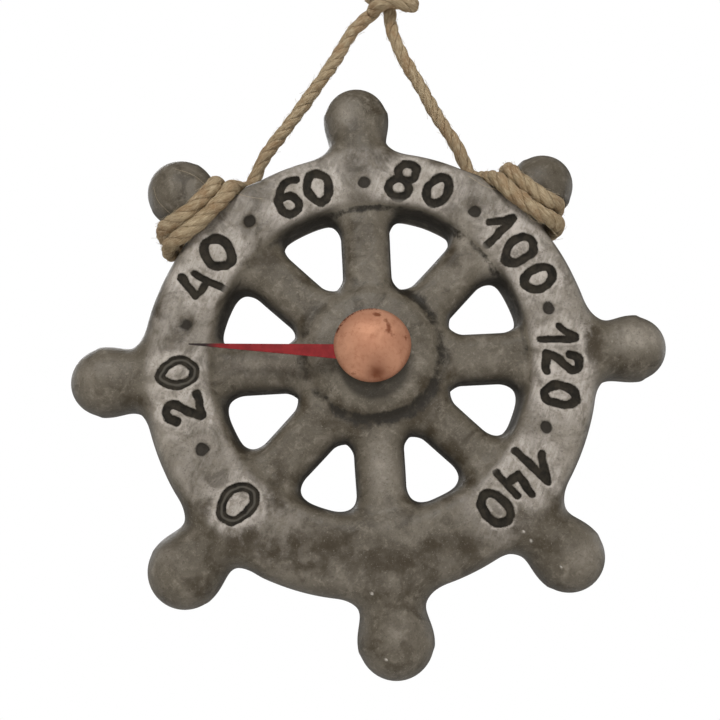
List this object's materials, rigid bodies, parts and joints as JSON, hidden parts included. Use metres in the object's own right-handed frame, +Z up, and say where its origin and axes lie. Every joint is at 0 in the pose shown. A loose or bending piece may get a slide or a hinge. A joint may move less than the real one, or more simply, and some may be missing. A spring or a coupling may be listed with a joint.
{
  "type": "sauna thermometer",
  "caption": "Ceramic ship's wheel dial with spokes and knobs, a domed copper cap, a red bimetal pointer and a jute twine hanger.",
  "frame": {"origin": "where a hook bears, at the top inside of the twine's hanging loop", "axes": "+Z up; the dial faces -Y and the back of the wheel +Y; +X to the right as the dial is read"},
  "size_m": [0.2008, 0.0372, 0.2752],
  "materials": {
    "clay": "unglazed fired clay, oxide stained, matt",
    "fibre": "vulcanised fibre",
    "brass": "turned, dull",
    "bimetal": "rolled bimetal strip",
    "copper": "copper sheet, softly polished and lightly spotted",
    "pointer_red": "red lacquer, dark at the tip",
    "jute": "three-strand jute twine, hairy"
  },
  "bodies": {
    "hanger": {"left_leg": "jute", "right_leg": "jute", "top_knot": "jute", "hanging_loop": "jute"},
    "wheel": {"ceramic_wheel": "clay", "front_fibre_washer": "fibre", "centre_stud": "brass", "rear_fibre_washer": "fibre", "rear_washer": "brass", "fixing_nut": "brass", "bimetal_coil": "bimetal", "cap_socket": "brass", "copper_cap": "copper", "left_wrap": "jute", "right_wrap": "jute"},
    "pointer": {"pointer_bush": "brass", "pointer_blade": "pointer_red"}
  },
  "joints": [
    {"name": "wheel_swing", "type": "hinge", "parent": "hanger", "child": "wheel", "pos_m": [-0.00863, 0, -0.10079], "axis": [-0.9986, 0, -0.0523], "range_deg": [0, 40]},
    {"name": "pointer_turn", "type": "hinge", "parent": "wheel", "child": "pointer", "pos_m": [-0.00521, -0.023, -0.16601], "axis": [0, 1, 0], "range_deg": [-48, 220.8], "stiffness_Nm_per_rad": 0.005, "deforming": ["bimetal_coil"]}
  ]
}
